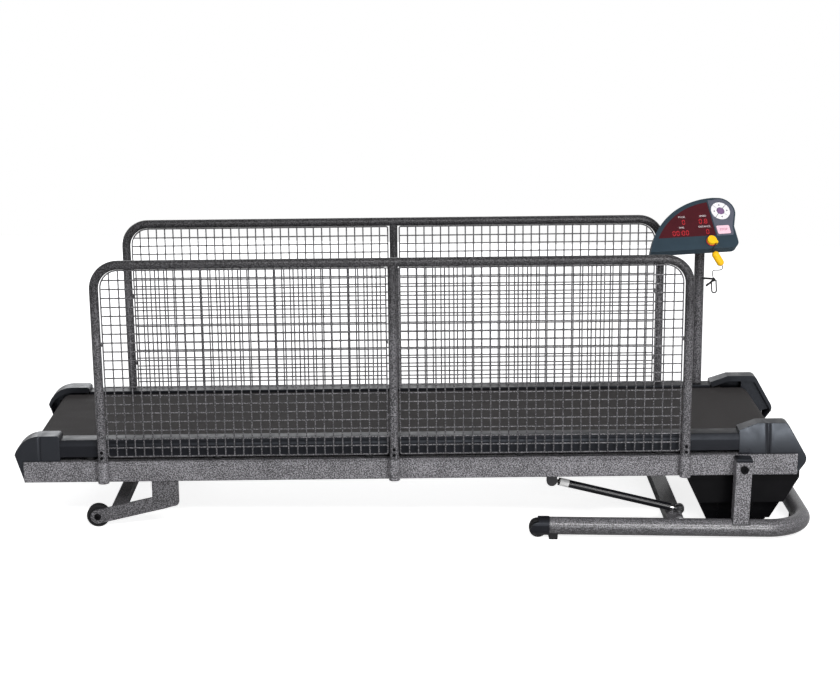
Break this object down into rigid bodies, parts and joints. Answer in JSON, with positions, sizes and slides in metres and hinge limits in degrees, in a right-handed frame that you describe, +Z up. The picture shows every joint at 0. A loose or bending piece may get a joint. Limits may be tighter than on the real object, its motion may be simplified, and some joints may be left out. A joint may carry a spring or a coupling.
{
  "type": "folding dog treadmill",
  "caption": "Folding dog treadmill with a belt deck between mesh side guards, gas struts, a tubular base with rollers, rear transport wheels and a console on a post.",
  "frame": {"origin": "on the floor, at the middle of the footprint", "axes": "+X along the deck to the motor end, +Y to the console side, +Z up"},
  "size_m": [2.2488, 0.684, 0.8644],
  "materials": {
    "frame_paint": "hammered grey paint",
    "base_paint": "hammered grey paint",
    "hoop_paint": "hammered grey paint",
    "wire": "grey coated wire",
    "black_plastic": "fine grained",
    "rubber": "matte",
    "running_belt": "fine cross-hatched texture",
    "board": "coated board",
    "roller_steel": "turned",
    "zinc": "zinc plated",
    "motor": "cast",
    "strut_black": "gloss black",
    "chrome": "polished",
    "cover_plastic": "satin",
    "console": "satin slate blue",
    "window": "tinted",
    "key_white": "satin",
    "key_purple": "satin",
    "stop_pink": "satin",
    "key_yellow": "moulded",
    "toggle_orange": "moulded",
    "cord": "braided",
    "board_green": "lacquered",
    "switch_red": "moulded"
  },
  "bodies": {
    "base": {"base_tube": "base_paint", "base_cross_tube": "base_paint", "uprights": "base_paint", "upright_caps": "black_plastic", "pivot_bolts": "zinc", "strut_brackets": "base_paint", "base_pads": "rubber", "base_end_caps": "black_plastic"},
    "deck": {"beam_near": "frame_paint", "beam_far": "frame_paint", "cross_members": "frame_paint", "deck_board": "board", "deck_cushions": "rubber", "running_belt": "running_belt", "side_cover_near": "black_plastic", "side_cover_far": "black_plastic", "rear_cap_near": "black_plastic", "rear_cap_far": "black_plastic", "front_cap_near": "black_plastic", "front_cap_far": "black_plastic", "roller_brackets": "zinc", "fasteners": "zinc", "hoop_near": "hoop_paint", "hoop_far": "hoop_paint", "hoop_stubs": "frame_paint", "mesh_near": "wire", "mesh_far": "wire", "rear_legs": "frame_paint", "rear_leg_bar": "frame_paint", "strut_lugs": "frame_paint", "motor": "motor", "drive_belt": "rubber", "motor_cover": "cover_plastic", "controller": "board_green", "power_inlet": "black_plastic", "console_post": "hoop_paint", "console_back": "console", "console_front": "console", "circuit_board": "board_green", "display_window": "window"},
    "base_roller_near": {"base_roller_near": "black_plastic"},
    "base_roller_far": {"base_roller_far": "black_plastic"},
    "front_roller": {"front_roller": "roller_steel"},
    "rear_roller": {"rear_roller": "roller_steel"},
    "motor_rotor": {"motor_rotor": "roller_steel"},
    "wheel_near": {"wheel_near": "black_plastic"},
    "wheel_far": {"wheel_far": "black_plastic"},
    "strut_barrels": {"strut_barrels": "strut_black"},
    "strut_rods": {"strut_rods": "chrome"},
    "key_up": {"key_up": "key_white"},
    "key_down": {"key_down": "key_white"},
    "key_left": {"key_left": "key_white"},
    "key_right": {"key_right": "key_white"},
    "key_start": {"key_start": "key_purple"},
    "stop_button": {"stop_button": "stop_pink"},
    "power_switch": {"power_switch": "switch_red"},
    "safety_key": {"safety_key": "key_yellow", "lanyard": "cord", "lanyard_toggle": "toggle_orange", "lanyard_clip": "black_plastic"}
  },
  "joints": [
    {"name": "deck_fold", "type": "hinge", "parent": "base", "child": "deck", "pos_m": [0.90445, 0, 0.212], "axis": [0, 1, 0], "range_deg": [0, 80]},
    {"name": "strut_swing", "type": "hinge", "parent": "deck", "child": "strut_barrels", "pos_m": [0.37895, 0, 0.14414], "axis": [0, 1, 0], "range_deg": [-4, 0]},
    {"name": "strut_extend", "type": "slide", "parent": "strut_barrels", "child": "strut_rods", "axis": [0.9753, 0, -0.2209], "range_m": [0, 0.282]},
    {"name": "front_roller_spin", "type": "hinge", "parent": "deck", "child": "front_roller", "pos_m": [0.98124, 0, 0.26239], "axis": [0, 1, 0], "continuous": true},
    {"name": "rear_roller_spin", "type": "hinge", "parent": "deck", "child": "rear_roller", "pos_m": [-1.05316, 0, 0.21267], "axis": [0, 1, 0], "continuous": true},
    {"name": "motor_spin", "type": "hinge", "parent": "deck", "child": "motor_rotor", "pos_m": [0.91684, 0, 0.11427], "axis": [0, 1, 0], "continuous": true},
    {"name": "wheel_near_spin", "type": "hinge", "parent": "deck", "child": "wheel_near", "pos_m": [-0.8987, 0, 0.032], "axis": [0, 1, 0], "continuous": true},
    {"name": "wheel_far_spin", "type": "hinge", "parent": "deck", "child": "wheel_far", "pos_m": [-0.8987, 0, 0.032], "axis": [0, 1, 0], "continuous": true},
    {"name": "base_roller_near_spin", "type": "hinge", "parent": "base", "child": "base_roller_near", "pos_m": [0.33845, 0, 0.029], "axis": [0, 1, 0], "continuous": true},
    {"name": "base_roller_far_spin", "type": "hinge", "parent": "base", "child": "base_roller_far", "pos_m": [0.33845, 0, 0.029], "axis": [0, 1, 0], "continuous": true},
    {"name": "key_up_press", "type": "slide", "parent": "deck", "child": "key_up", "axis": [-0.1634, 0.7211, -0.6733], "range_m": [0, 0.0008], "stiffness_N_per_m": 400, "springref_m": -0.0005},
    {"name": "key_down_press", "type": "slide", "parent": "deck", "child": "key_down", "axis": [-0.1634, 0.7211, -0.6733], "range_m": [0, 0.0008], "stiffness_N_per_m": 400, "springref_m": -0.0005},
    {"name": "key_left_press", "type": "slide", "parent": "deck", "child": "key_left", "axis": [-0.1634, 0.7211, -0.6733], "range_m": [0, 0.0008], "stiffness_N_per_m": 400, "springref_m": -0.0005},
    {"name": "key_right_press", "type": "slide", "parent": "deck", "child": "key_right", "axis": [-0.1634, 0.7211, -0.6733], "range_m": [0, 0.0008], "stiffness_N_per_m": 400, "springref_m": -0.0005},
    {"name": "key_start_press", "type": "slide", "parent": "deck", "child": "key_start", "axis": [-0.1634, 0.7211, -0.6733], "range_m": [0, 0.0008], "stiffness_N_per_m": 400, "springref_m": -0.0005},
    {"name": "stop_button_press", "type": "slide", "parent": "deck", "child": "stop_button", "axis": [-0.1634, 0.7211, -0.6733], "range_m": [0, 0.0008], "stiffness_N_per_m": 400, "springref_m": -0.0005},
    {"name": "safety_key_pull", "type": "slide", "parent": "deck", "child": "safety_key", "axis": [0.1634, -0.7211, 0.6733], "range_m": [0, 0.025]},
    {"name": "power_switch_rock", "type": "hinge", "parent": "deck", "child": "power_switch", "pos_m": [0.98413, 0.2455, 0.14393], "axis": [0.9997, 0, 0.0244], "range_deg": [0, 16]}
  ],
  "couplings": [
    {"joint": "strut_swing", "follows": "deck_fold", "ratio": -0.034098},
    {"joint": "strut_extend", "follows": "deck_fold", "m_per_rad": 0.20085},
    {"joint": "rear_roller_spin", "follows": "front_roller_spin", "ratio": 1},
    {"joint": "motor_spin", "follows": "front_roller_spin", "ratio": 2.8125}
  ]
}
